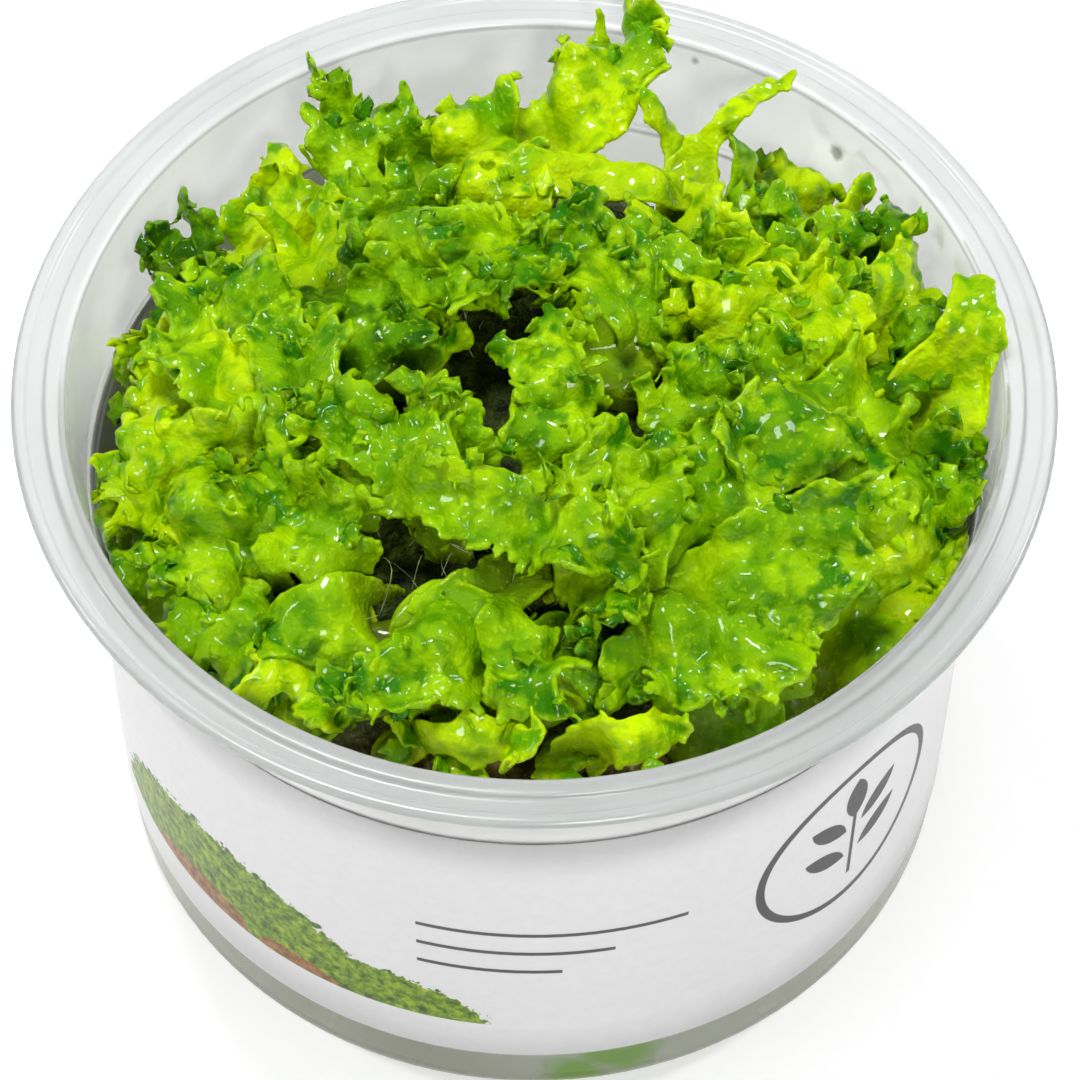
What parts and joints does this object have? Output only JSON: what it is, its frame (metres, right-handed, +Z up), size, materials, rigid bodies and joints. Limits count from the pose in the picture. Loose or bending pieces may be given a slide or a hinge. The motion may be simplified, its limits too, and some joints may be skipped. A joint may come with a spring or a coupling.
{
  "type": "monosolenium tenerum liverwort in a culture cup",
  "caption": "Round clear culture cup with a flanged rim and a plain wrap label, filled with nutrient gel and a crowded mound of fleshy green liverwort thalli",
  "frame": {"origin": "middle of the cup's base, on the surface it stands on", "axes": "+Z up, -Y is the front of the label and the side the picture looks from, +X to its right"},
  "size_m": [0.1, 0.1, 0.0729],
  "materials": {
    "cup_plastic": "translucent natural polypropylene, slightly hazy, glossy on the rim",
    "label_paper": null,
    "growth_gel": "milky wet gel",
    "rhizoids": "tangled brown-black threads and dark old growth",
    "thallus_green": "wet, fleshy, translucent green with darker frilly margins"
  },
  "bodies": {
    "root": {"cup": "cup_plastic", "label": "label_paper", "growth_gel": "growth_gel", "rhizoid_mat": "rhizoids", "thallus_tall": "thallus_green", "thallus_tall_left": "thallus_green", "thallus_fork_right": "thallus_green", "thallus_fork_left": "thallus_green", "thallus_back_left": "thallus_green", "thallus_spike": "thallus_green", "thallus_back_lime": "thallus_green", "thallus_curl": "thallus_green", "thallus_strap": "thallus_green", "thallus_shelf": "thallus_green", "thallus_tooth": "thallus_green", "thallus_ragged": "thallus_green", "thallus_upright": "thallus_green", "thallus_diagonal": "thallus_green", "thallus_diagonal_low": "thallus_green", "thallus_broad_right": "thallus_green", "thallus_centre_right": "thallus_green", "thallus_crown_near": "thallus_green", "thallus_crown_far": "thallus_green", "thallus_crown_right": "thallus_green", "thallus_crown_edge": "thallus_green", "thallus_right_mid": "thallus_green", "thallus_back_mid": "thallus_green", "thallus_rear_right": "thallus_green", "thallus_rear_curl": "thallus_green", "thallus_big_right": "thallus_green", "thallus_dark_right": "thallus_green", "thallus_lime_right": "thallus_green", "thallus_left_broad": "thallus_green", "thallus_olive": "thallus_green", "thallus_left_lime": "thallus_green", "thallus_rolled": "thallus_green", "thallus_left_frill": "thallus_green", "thallus_left_grainy": "thallus_green", "thallus_left_wall": "thallus_green", "thallus_left_mid": "thallus_green", "thallus_fan": "thallus_green", "thallus_fan_low": "thallus_green", "thallus_edge_back": "thallus_green", "thallus_edge_mid": "thallus_green", "thallus_edge_front": "thallus_green", "thallus_front_glossy": "thallus_green", "thallus_star": "thallus_green", "thallus_left_smooth": "thallus_green", "thallus_left_low": "thallus_green", "thallus_front_left": "thallus_green", "thallus_front_right": "thallus_green", "thallus_dark_centre": "thallus_green", "thallus_left_front": "thallus_green", "thallus_right_front": "thallus_green"}
  },
  "joints": []
}
